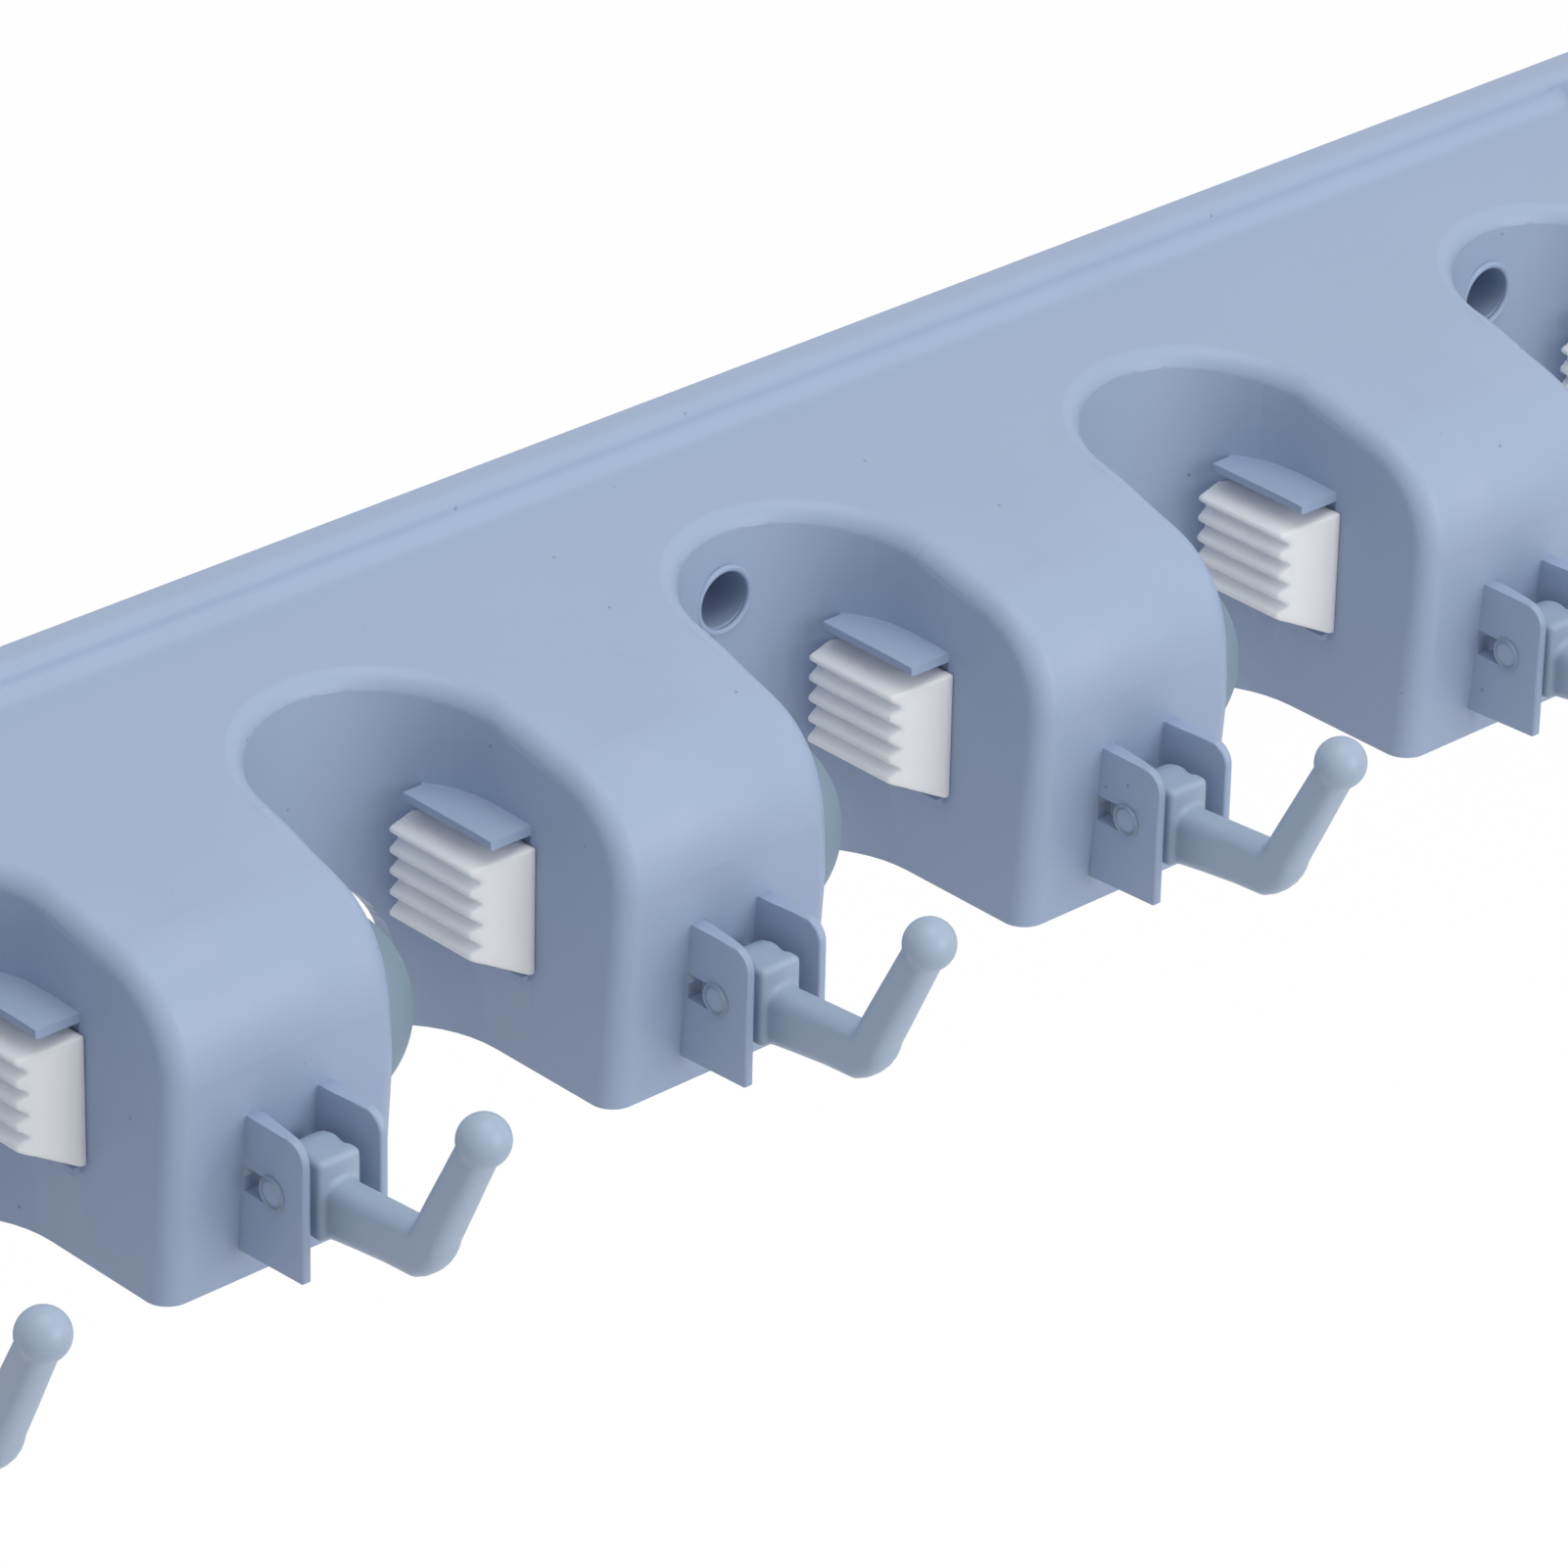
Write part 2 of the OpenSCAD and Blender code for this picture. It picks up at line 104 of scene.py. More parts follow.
@dataclass(frozen=True)
class Moulded:
    """A moulded surface: its colour, sheen and the fine texture of the mould.

    Attributes:
        name: The material's name.
        colour: Its sRGB hex colour.
        mottle: The sRGB hex colour of its faint cloudy variation.
        roughness: Base roughness.
        ior: Index of refraction.
        grain_mm: Size of the mould texture.
        grain_depth: Strength of the mould texture's bump.
        speck: How far the tiny dark specks go towards their colour.
        subsurface: Share of light that passes under the surface.
        subsurface_mm: How far that light travels.
    """

    name: str
    colour: str
    mottle: str
    roughness: float
    ior: float
    grain_mm: float
    grain_depth: float
    speck: float = 0.0
    subsurface: float = 0.0
    subsurface_mm: float = 0.5

    def pigment(
        self, tree: bpy.types.NodeTree, place: bpy.types.NodeSocket
    ) -> bpy.types.NodeSocket:
        """Adds the pigment's colour, cloudy over a few centimetres.

        Args:
            tree: The material's node tree.
            place: The Object coordinates.

        Returns:
            The colour socket.
        """
        clouds = add_node(
            tree,
            "ShaderNodeTexNoise",
            {"Scale": 1 / (28 * MM), "Detail": 3.0, "Roughness": 0.55},
            {"Vector": place},
        )
        mottled = add_node(
            tree,
            "ShaderNodeMix",
            {"data_type": "RGBA"},
            {"Factor": clouds.outputs["Fac"]},
        )
        mottled.inputs[6].default_value = linear(self.colour)
        mottled.inputs[7].default_value = linear(self.mottle)
        return mottled.outputs[2]

    def specked(
        self,
        tree: bpy.types.NodeTree,
        place: bpy.types.NodeSocket,
        colour: bpy.types.NodeSocket,
    ) -> bpy.types.NodeSocket:
        """Adds dark dust specks, half a millimetre across and a few in a square centimetre.

        Args:
            tree: The material's node tree.
            place: The Object coordinates.
            colour: The colour under the specks.

        Returns:
            The colour socket with the specks.
        """
        cells = add_node(
            tree,
            "ShaderNodeTexVoronoi",
            {"Scale": 1 / (4.5 * MM), "Randomness": 1.0},
            {"Vector": place},
        )
        near = add_node(
            tree,
            "ShaderNodeMapRange",
            {"From Min": 0.035, "From Max": 0.075, "To Min": self.speck, "To Max": 0.0},
            {"Value": cells.outputs["Distance"]},
        )
        rare = add_node(
            tree,
            "ShaderNodeMath",
            {"operation": "GREATER_THAN"},
            {0: cells.outputs["Color"]},
        )
        rare.inputs[1].default_value = 0.72
        amount = add_node(
            tree,
            "ShaderNodeMath",
            {"operation": "MULTIPLY"},
            {0: near.outputs["Result"], 1: rare.outputs["Value"]},
        )
        mixed = add_node(
            tree,
            "ShaderNodeMix",
            {"data_type": "RGBA"},
            {"Factor": amount.outputs["Value"], 6: colour},
        )
        mixed.inputs[7].default_value = linear("#5C6675")
        return mixed.outputs[2]

    def material(self) -> bpy.types.Material:
        """Builds the material.

        Returns:
            The material, on Object coordinates.
        """
        material = bpy.data.materials.new(self.name)
        material.use_nodes = True
        tree = material.node_tree
        tree.nodes.clear()
        place = add_node(tree, "ShaderNodeTexCoord").outputs["Object"]
        colour = self.pigment(tree, place)
        if self.speck:
            colour = self.specked(tree, place, colour)
        # The spark-eroded mould leaves a fine even grain
        grain = add_node(
            tree,
            "ShaderNodeTexNoise",
            {"Scale": 1 / (self.grain_mm * MM), "Detail": 2.0, "Roughness": 0.6},
            {"Vector": place},
        )
        bump = add_node(
            tree,
            "ShaderNodeBump",
            {"Strength": self.grain_depth, "Distance": 0.1 * MM},
            {"Height": grain.outputs["Fac"]},
        )
        sheen = add_node(
            tree,
            "ShaderNodeMapRange",
            {"To Min": self.roughness - 0.05, "To Max": self.roughness + 0.05},
            {"Value": grain.outputs["Fac"]},
        )
        surface = add_node(
            tree,
            "ShaderNodeBsdfPrincipled",
            {
                "IOR": self.ior,
                "Subsurface Weight": self.subsurface,
                "Subsurface Scale": self.subsurface_mm * MM,
                "Subsurface Radius": (1.0, 1.0, 1.0),
            },
            {
                "Base Color": colour,
                "Roughness": sheen.outputs["Result"],
                "Normal": bump.outputs["Normal"],
            },
        )
        add_node(
            tree,
            "ShaderNodeOutputMaterial",
            links={"Surface": surface.outputs["BSDF"]},
        )
        return material


@dataclass(frozen=True)
class ZincPlate:
    """Zinc-plated steel: bright, slightly blue, with a soft cloudy plating.

    Attributes:
        name: The material's name.
        colour: Its sRGB hex colour.
        roughness: Base roughness.
    """

    name: str
    colour: str
    roughness: float

    def material(self) -> bpy.types.Material:
        """Builds the material.

        Returns:
            The material, on Object coordinates.
        """
        material = bpy.data.materials.new(self.name)
        material.use_nodes = True
        tree = material.node_tree
        tree.nodes.clear()
        place = add_node(tree, "ShaderNodeTexCoord").outputs["Object"]
        crystals = add_node(
            tree, "ShaderNodeTexNoise", {"Scale": 1 / (0.6 * MM)}, {"Vector": place}
        )
        dull = add_node(
            tree,
            "ShaderNodeMapRange",
            {"To Min": self.roughness - 0.08, "To Max": self.roughness + 0.1},
            {"Value": crystals.outputs["Fac"]},
        )
        surface = add_node(
            tree,
            "ShaderNodeBsdfPrincipled",
            {"Base Color": linear(self.colour), "Metallic": 1.0},
            {"Roughness": dull.outputs["Result"]},
        )
        add_node(
            tree,
            "ShaderNodeOutputMaterial",
            links={"Surface": surface.outputs["BSDF"]},
        )
        return material


class Finish(Enum):
    """The rack's finishes, by what each piece is moulded from."""

    # Polypropylene from a fine spark-eroded mould: satin, with a faint even grain
    SHELL = Moulded(
        name="polypropylene_spark_textured",
        colour="#9CADC8",
        mottle="#98A8C3",
        roughness=0.46,
        ior=1.49,
        grain_mm=0.45,
        grain_depth=0.10,
        speck=0.55,
    )
    # The hooks' polypropylene has a touch more grey and green
    HOOK = Moulded(
        name="polypropylene_grey_blue",
        colour="#A1B2C7",
        mottle="#9CADC3",
        roughness=0.42,
        ior=1.49,
        grain_mm=0.5,
        grain_depth=0.08,
    )
    # Soft white thermoplastic rubber: matt, and light passes a little way into it
    PAD = Moulded(
        name="thermoplastic_rubber_white",
        colour="#FAFAFC",
        mottle="#F6F7FA",
        roughness=0.62,
        ior=1.5,
        grain_mm=0.4,
        grain_depth=0.05,
        subsurface=0.8,
        subsurface_mm=4.0,
    )
    # Rubber ball: matt and smooth
    BALL = Moulded(
        name="thermoplastic_rubber_grey",
        colour="#7F93A4",
        mottle="#7A8E9F",
        roughness=0.55,
        ior=1.5,
        grain_mm=0.4,
        grain_depth=0.08,
    )
    # The guides' plain polypropylene, from a mould without a texture
    GUIDE = Moulded(
        name="polypropylene_plain",
        colour="#93A2B8",
        mottle="#8E9DB4",
        roughness=0.5,
        ior=1.49,
        grain_mm=0.6,
        grain_depth=0.06,
    )
    # The small screws' bright zinc plating
    SCREW = ZincPlate(name="zinc_plated_steel", colour="#C9CBCF", roughness=0.34)


class Palette:
    """Builds each finish once and hands it out."""

    def __init__(self) -> None:
        """Starts with no material built."""
        self.made: dict[Finish, bpy.types.Material] = {}

    def get(self, finish: Finish) -> bpy.types.Material:
        """Returns the finish's material, built at its first use."""
        if finish not in self.made:
            self.made[finish] = finish.value.material()
        return self.made[finish]

    def dress(self, piece: bpy.types.Object, finish: Finish) -> None:
        """Gives every material slot of a piece one finish.

        Args:
            piece: The object to dress.
            finish: Its finish.
        """
        material = self.get(finish)
        if not piece.material_slots:
            piece.data.materials.append(material)
        for slot in piece.material_slots:
            slot.material = material


@dataclass
class Studio:
    """The camera, the white surroundings and the soft lamps.

    Attributes:
        eye: Camera centre.
        right: The camera's right, in the rack's frame.
        up: The camera's up.
        lens_mm: Focal length on a 36 mm sensor.
        floor_z: Height of the floor.
        room_white: Strength of the room where it is seen.
        room_light: Strength of the room as a light.
        floor_white: Strength of the floor where it is seen.
        floor_share: How much of the seen floor is that white, and not paper in shadow.
    """

    eye: Vector = field(default_factory=lambda: Vector((-0.7175, -0.8064, 0.5455)))
    right: Vector = field(default_factory=lambda: Vector((0.7378, -0.6748, 0.0174)))
    up: Vector = field(default_factory=lambda: Vector((0.3095, 0.3612, 0.8795)))
    lens_mm: float = 201.7
    floor_z: float = -0.42
    room_white: float = 1.03
    room_light: float = 0.56
    floor_white: float = 1.04
    floor_share: float = 0.9

    def camera(self) -> None:
        """Makes the camera at the photograph's viewing angle."""
        right = self.right.normalized()
        back = right.cross(self.up).normalized()
        up = back.cross(right)
        data = bpy.data.cameras.new("camera")
        data.lens = self.lens_mm
        data.sensor_width = 36.0
        data.clip_start = 0.01
        data.clip_end = 50.0
        camera = bpy.data.objects.new("camera", data)
        turn = Matrix((right, up, back)).transposed().to_4x4()
        camera.matrix_world = Matrix.Translation(self.eye) @ turn
        bpy.context.scene.collection.objects.link(camera)
        bpy.context.scene.camera = camera

    def white_rays(self, tree: bpy.types.NodeTree) -> bpy.types.NodeSocket:
        """Adds the switch for the rays that see the plain white surroundings.

        Args:
            tree: The node tree that it goes into.

        Returns:
            A socket that is 1 for camera, glossy and transmission rays.
        """
        path = add_node(tree, "ShaderNodeLightPath")
        white = path.outputs["Is Camera Ray"]
        for kind in ("Is Glossy Ray", "Is Transmission Ray"):
            either = add_node(
                tree,
                "ShaderNodeMath",
                {"operation": "MAXIMUM"},
                {0: white, 1: path.outputs[kind]},
            )
            white = either.outputs["Value"]
        return white

    def surroundings(self) -> None:
        """Makes the world: white where the camera sees it, softer as a light."""
        world = bpy.data.worlds.new("white_room")
        bpy.context.scene.world = world
        world.use_nodes = True
        tree = world.node_tree
        tree.nodes.clear()
        seen = add_node(
            tree,
            "ShaderNodeBackground",
            {"Color": (1, 1, 1, 1), "Strength": self.room_white},
        )
        light = add_node(
            tree,
            "ShaderNodeBackground",
            {"Color": (0.97, 0.98, 1, 1), "Strength": self.room_light},
        )
        both = add_node(
            tree,
            "ShaderNodeMixShader",
            links={
                0: self.white_rays(tree),
                1: light.outputs["Background"],
                2: seen.outputs["Background"],
            },
        )
        add_node(tree, "ShaderNodeOutputWorld", links={"Surface": both.outputs["Shader"]})

    def floor(self) -> None:
        """Makes the pale floor, which keeps the rack's soft shadow."""
        bpy.ops.object.select_all(action="DESELECT")
        bpy.ops.mesh.primitive_plane_add(size=8, location=(0, 0, self.floor_z))
        floor = bpy.context.active_object
        floor.name = "floor"
        material = bpy.data.materials.new("matt_white_paper")
        material.use_nodes = True
        tree = material.node_tree
        tree.nodes.clear()
        paper = add_node(tree, "ShaderNodeBsdfDiffuse", {"Color": (0.8, 0.8, 0.8, 1)})
        glow = add_node(
            tree,
            "ShaderNodeEmission",
            {"Color": (1, 1, 1, 1), "Strength": self.floor_white},
        )
        share = add_node(
            tree,
            "ShaderNodeMath",
            {"operation": "MULTIPLY"},
            {0: self.white_rays(tree)},
        )
        share.inputs[1].default_value = self.floor_share
        both = add_node(
            tree,
            "ShaderNodeMixShader",
            links={
                0: share.outputs["Value"],
                1: paper.outputs["BSDF"],
                2: glow.outputs["Emission"],
            },
        )
        add_node(tree, "ShaderNodeOutputMaterial", links={"Surface": both.outputs["Shader"]})
        floor.data.materials.append(material)

    def lamp(self, name: str, place: Vector, size: float, watts: float) -> None:
        """Adds a square soft lamp that faces the rack.

        Args:
            name: The lamp's name.
            place: Where it stands.
            size: Length of its side.
            watts: Its power.
        """
        data = bpy.data.lights.new(name, "AREA")
        data.size = size
        data.energy = watts
        lamp = bpy.data.objects.new(name, data)
        lamp.location = place
        lamp.rotation_euler = (-place).to_track_quat("-Z", "Y").to_euler()
        bpy.context.scene.collection.objects.link(lamp)

    def build(self) -> None:
        """Makes the whole studio."""
        self.camera()
        self.surroundings()
        self.floor()
        self.lamp("overhead_soft_box", Vector((-0.05, -0.25, 1.3)), 1.0, 6.8)
        self.lamp("front_soft_box", Vector((0.35, -1.5, 0.45)), 0.9, 9.5)
        bpy.context.scene.view_settings.view_transform = "Standard"


def select_only(*objects: bpy.types.Object) -> None:
    """Selects these objects and nothing else, and makes the first one active.

    Args:
        objects: The objects to select.
    """
    bpy.ops.object.select_all(action="DESELECT")
    for item in objects:
        item.select_set(True)
    bpy.context.view_layer.objects.active = objects[0]


@contextmanager
def editing(piece: bpy.types.Object, everything: bool = True) -> Iterator[None]:
    """Opens edit mode on one piece and closes it afterwards.

    Args:
        piece: The mesh object to edit.
        everything: Selects the whole mesh, and not just what was picked before.
    """
    select_only(piece)
    bpy.ops.object.mode_set(mode="EDIT")
    if everything:
        bpy.ops.mesh.select_mode(type="VERT")
        bpy.ops.mesh.select_all(action="SELECT")
    try:
        yield
    finally:
        bpy.ops.object.mode_set(mode="OBJECT")


def settle(piece: bpy.types.Object, name: str) -> bpy.types.Object:
    """Applies a piece's transform, turns its normals outward and names it.

    Args:
        piece: The finished mesh object.
        name: Its name.

    Returns:
        The same object, with its origin on the rack's.
    """
    select_only(piece)
    bpy.ops.object.transform_apply(location=True, rotation=True, scale=True)
    bpy.context.scene.cursor.location = (0, 0, 0)
    bpy.ops.object.origin_set(type="ORIGIN_CURSOR")
    with editing(piece):
        bpy.ops.mesh.normals_make_consistent(inside=False)
    piece.name = name
    piece.data.name = name
    return piece


def block(centre: Vector, size: Vector, round_mm: float) -> bpy.types.Object:
    """Makes a box with rounded edges.

    Args:
        centre: Its centre in metres.
        size: Its size in millimetres.
        round_mm: Radius of its edges.

    Returns:
        The box.
    """
    bpy.ops.object.select_all(action="DESELECT")
    bpy.ops.mesh.primitive_cube_add(size=1, location=centre)
    box = bpy.context.active_object
    box.scale = size * MM
    bpy.ops.object.transform_apply(location=True, rotation=False, scale=True)
    with editing(box):
        bpy.ops.mesh.bevel(offset=round_mm * MM, segments=4, affect="EDGES")
    return box


def drum(centre: Vector, radius_mm: float, length_mm: float, sides: int = 40) -> bpy.types.Object:
    """Makes a round drum that lies along X.

    Args:
        centre: Its centre in metres.
        radius_mm: Its radius.
        length_mm: Its length.
        sides: Number of sides.

    Returns:
        The drum.
    """
    bpy.ops.object.select_all(action="DESELECT")
    bpy.ops.mesh.primitive_cylinder_add(
        vertices=sides,
        radius=radius_mm * MM,
        depth=length_mm * MM,
        location=centre,
        rotation=(0, math.radians(90), 0),
    )
    made = bpy.context.active_object
    bpy.ops.object.transform_apply(location=True, rotation=True, scale=False)
    return made


def join(parts: list[bpy.types.Object]) -> bpy.types.Object:
    """Joins mesh objects into the first of them.

    Args:
        parts: The objects.

    Returns:
        The first object, which now holds them all.
    """
    select_only(*parts)
    bpy.ops.object.join()
    return parts[0]


def soften(piece: bpy.types.Object, voxel_mm: float, rounds: int) -> None:
    """Melts overlapping bodies into one skin and rounds its edges, as a mould would.

    Args:
        piece: The object to soften.
        voxel_mm: Size of the skin's faces.
        rounds: How often the skin is smoothed.
    """
    select_only(piece)
    remesh = piece.modifiers.new("skin", "REMESH")
    remesh.mode = "VOXEL"
    remesh.voxel_size = voxel_mm * MM
    remesh.use_smooth_shade = True
    bpy.ops.object.modifier_apply(modifier=remesh.name)
    smooth = piece.modifiers.new("soft", "SMOOTH")
    smooth.factor = 0.5
    smooth.iterations = rounds
    bpy.ops.object.modifier_apply(modifier=smooth.name)


def copy_of(piece: bpy.types.Object, name: str, step: Vector) -> bpy.types.Object:
    """Copies a finished piece to another place, with a mesh of its own.

    Args:
        piece: The piece to copy.
        name: The copy's name.
        step: How far the copy stands from the piece.

    Returns:
        The copy.
    """
    twin = piece.copy()
    twin.data = piece.data.copy()
    bpy.context.scene.collection.objects.link(twin)
    twin.location = step
    return settle(twin, name)


def bar(
    place: tuple[float, float], ends: tuple[float, float], radius_mm: float
) -> bpy.types.Object:
    """Makes a thin round bar along Y.

    Args:
        place: Its x and z in millimetres.
        ends: Where it starts and ends along Y.
        radius_mm: Its radius.

    Returns:
        The bar.
    """
    bpy.ops.object.select_all(action="DESELECT")
    bpy.ops.mesh.primitive_cylinder_add(
        vertices=20,
        radius=radius_mm * MM,
        depth=(ends[1] - ends[0]) * MM,
        location=Vector((place[0], sum(ends) / 2, place[1])) * MM,
        rotation=(math.radians(90), 0, 0),
    )
    made = bpy.context.active_object
    bpy.ops.object.transform_apply(location=True, rotation=True, scale=False)
    return made


def merged_copy(node: bpy.types.Object, name: str) -> bpy.types.Object:
    """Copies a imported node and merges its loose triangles.

    Args:
        node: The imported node, which stays as it is.
        name: The copy's name.

    Returns:
        The copy, at the rack's origin.
    """
    twin = node.copy()
    twin.data = node.data.copy()
    twin.data.materials.clear()
    twin.parent = None
    twin.matrix_world = node.matrix_world.copy()
    twin.hide_render = False
    bpy.context.scene.collection.objects.link(twin)
    for key in list(twin.keys()):
        del twin[key]
    twin.name = name
    select_only(twin)
    bpy.ops.object.transform_apply(location=True, rotation=True, scale=True)
    with editing(twin):
        bpy.ops.mesh.remove_doubles(threshold=0.001 * MM)
    return twin


class Rod:
    """A rod that grows forward from its start, section by section, in a plane X = constant.

    Attributes:
        piece: The mesh object, which stays in edit mode with its end selected.
        tip: Centre of the end section.
        heading: Angle of the end from -Y up towards +Z.
    """

    def __init__(self, start: Vector, heading: float, size: tuple[float, float]) -> None:
        """Makes the first section, a rectangle with well rounded corners.

        Args:
            start: Its centre.
            heading: Direction in which the rod sets off.
            size: Width and height of the section in millimetres.
        """
        bpy.ops.object.select_all(action="DESELECT")
        bpy.ops.mesh.primitive_plane_add(
            size=1, location=start, rotation=(math.radians(90) - heading, 0, 0)
        )
        self.piece = bpy.context.active_object
        self.piece.scale = (size[0] * MM, size[1] * MM, 1)
        bpy.ops.object.transform_apply(location=True, rotation=True, scale=True)
        self.tip = start.copy()
        self.heading = heading
        bpy.ops.object.mode_set(mode="EDIT")
        bpy.ops.mesh.select_all(action="SELECT")
        bpy.ops.mesh.bevel(offset=0.42 * min(size) * MM, segments=5, affect="VERTICES")

    @property
    def ahead(self) -> Vector:
        """Direction in which the rod grows."""
        return Vector((0, -math.cos(self.heading), math.sin(self.heading)))

    @property
    def upward(self) -> Vector:
        """Direction across the rod, towards the top of its section."""
        return Vector((0, math.sin(self.heading), math.cos(self.heading)))

    def grow(self, length_mm: float) -> None:
        """Adds a straight stretch.

        Args:
            length_mm: Its length.
        """
        step = self.ahead * length_mm * MM
        bpy.ops.mesh.extrude_region_move(TRANSFORM_OT_translate={"value": step})
        self.tip += step

    def bend(self, radius_mm: float, angle: float, steps: int) -> None:
        """Adds a bend upwards.

        Args:
            radius_mm: Radius of its centre line.
            angle: How far it turns.
            steps: Number of sections in it.
        """
        centre = self.tip + self.upward * radius_mm * MM
        bpy.ops.mesh.spin(steps=steps, angle=angle, center=centre, axis=(1, 0, 0))
        self.heading += angle
        self.tip = centre - self.upward * radius_mm * MM

    def resize(self, wide: float, high: float, keep_mm: float = 0.0) -> None:
        """Scales the end section, measured in its own plane.

        Args:
            wide: Factor across X.
            high: Factor along the section's height.
            keep_mm: Height above the centre that stays where it is.
        """
        fixed = self.tip + self.upward * keep_mm * MM
        self.tilt(-self.heading, fixed)
        bpy.ops.transform.resize(value=(wide, 1, high), center_override=fixed)
        self.tilt(self.heading, fixed)
        self.tip = fixed - self.upward * keep_mm * MM * high

    def tilt(self, angle: float, centre: Vector) -> None:
        """Turns the end section about X.

        Args:
            angle: How far, from -Y up towards +Z.
            centre: The point that it turns about.
        """
        if abs(angle) > 1e-6:
            bpy.ops.transform.rotate(value=angle, orient_axis="X", center_override=centre)

    def finish(self) -> bpy.types.Object:
        """Leaves edit mode.

        Returns:
            The rod.
        """
        bpy.ops.object.mode_set(mode="OBJECT")
        return self.piece


@dataclass
class Hook:
    """A folding hook: head, collar and pins, an arm with a bend, and a ball on its tip.

    Lengths are millimetres.

    Attributes:
        pivot: Where the pins' axis crosses the middle of the hook, in metres.
        rise: Slope of the arm where it leaves the collar.
        turn: How far the bend turns the arm up.
        root: Where the arm starts, from the pivot.
        section: Width and height of the arm where it starts.
        inner_r: Radius of the bend on its inner side.
        thinning: What one sixth of the bend leaves of the arm's height.
        head: Radius and width of the round head.
        pins: Radius and length of the rod whose ends are the pins.
        tip_r: Radius of the ball on the tip.
    """

    pivot: Vector
    rise: float = math.radians(4)
    turn: float = math.radians(59)
    root: tuple[float, float, float] = (0, -2.5, -2.9)
    section: tuple[float, float] = (5.4, 8.7)
    inner_r: float = 1.6
    thinning: float = 0.95
    head: tuple[float, float] = (4.9, 6.4)
    pins: tuple[float, float] = (2.2, 14.46)
    tip_r: float = 3.62

    def at(self, x: float, y: float, z: float) -> Vector:
        """Returns a point given in millimetres from the pivot."""
        return self.pivot + Vector((x, y, z)) * MM

    def arm(self) -> tuple[bpy.types.Object, Vector]:
        """Makes the arm: deep at its root, bent up, and tapering to the tip.

        Returns:
            The arm, and the centre of its end.
        """
        rod = Rod(self.at(*self.root), self.rise, self.section)
        rod.grow(7)
        rod.resize(0.97, 0.94, 4.35)
        rod.grow(6)
        rod.resize(0.98, 0.96, 4.1)
        rod.grow(4.6)
        height = self.section[1] * 0.94 * 0.96
        for _ in range(6):
            rod.bend(self.inner_r + height / 2, self.turn / 6, 2)
            rod.resize(1.01, self.thinning, height / 2)
            height *= self.thinning
        for length, wide, high in ((6, 0.98, 0.97), (6, 0.96, 0.96), (7.6, 0.96, 0.96)):
            rod.grow(length)
            rod.resize(wide, high)
        return rod.finish(), rod.tip

    def pin_rod(self) -> bpy.types.Object:
        """Makes the two pins, one rod with a shallow dish in each end.

        Returns:
            The rod.
        """
        rod = drum(self.pivot, *self.pins, sides=48)
        with editing(rod):
            bpy.ops.mesh.select_mode(type="FACE")
            bpy.ops.mesh.select_all(action="DESELECT")
        for face in rod.data.polygons:
            face.select = abs(face.normal.x) > 0.9
        with editing(rod, everything=False):
            bpy.ops.mesh.select_mode(type="FACE")
            bpy.ops.mesh.bevel(offset=0.25 * MM, segments=3, affect="EDGES")
            bpy.ops.mesh.inset(thickness=0.45 * MM, use_individual=True)
            bpy.ops.mesh.inset(thickness=0.22 * MM, depth=-0.32 * MM, use_individual=True)
        return rod

    def build(self, name: str) -> bpy.types.Object:
        """Makes the whole hook.

        Args:
            name: Its name.

        Returns:
            The hook.
        """
        head = drum(self.pivot, *self.head)
        collar = block(self.at(0, -3.7, -0.9), Vector((7.0, 2.8, 11.6)), 0.7)
        crown = block(self.at(0, -1.5, 2.6), Vector((6.6, 5.6, 4.6)), 1.2)
        arm, tip = self.arm()
        bpy.ops.object.select_all(action="DESELECT")
        bpy.ops.mesh.primitive_uv_sphere_add(
            segments=40, ring_count=24, radius=self.tip_r * MM, location=tip
        )
        ball = bpy.context.active_object
        bpy.ops.object.transform_apply(location=True, rotation=True, scale=True)
        body = join([head, collar, crown, arm, ball])
        soften(body, 0.3, 9)
        hook = settle(join([body, self.pin_rod()]), name)
        select_only(hook)
        bpy.ops.object.shade_smooth_by_angle(angle=math.radians(40))
        return hook


def pick(piece: bpy.types.Object, test: Test, edges: bool = False) -> int:
    """Selects the vertices or the sharp edges of a piece that lie in one place.

    Args:
        piece: The mesh object, in object mode.
        test: Says whether a point in millimetres is in that place.
        edges: Selects sharp edges whose two ends pass, and not single vertices.

    Returns:
        How many were selected.
    """
    mesh = piece.data
    inside = [test(vertex.co / MM) for vertex in mesh.vertices]
    facing: dict[tuple[int, int], list[Vector]] = {}
    for face in mesh.polygons:
        face.select = False
        if edges:
            for key in face.edge_keys:
                facing.setdefault(key, []).append(face.normal)
    for edge in mesh.edges:
        first, second = edge.vertices
        sides = facing.get(edge.key, [])
        sharp = len(sides) == 2 and sides[0].dot(sides[1]) < 0.9
        edge.select = inside[first] and inside[second] and (sharp or not edges)
    for vertex, chosen in zip(mesh.vertices, inside):
        vertex.select = chosen
    bpy.context.tool_settings.mesh_select_mode = (not edges, edges, False)
    return sum(edge.select for edge in mesh.edges) if edges else sum(inside)


def shift(piece: bpy.types.Object, test: Test, step: tuple[float, float, float]) -> None:
    """Moves the vertices that lie in one place.

    Args:
        piece: The mesh object.
        test: Says whether a point in millimetres is in that place.
        step: The move in millimetres.
    """
    found = pick(piece, test)
    log.info("moved %d points of %s", found, piece.name)
    with editing(piece, everything=False):
        bpy.ops.transform.translate(value=Vector(step) * MM)


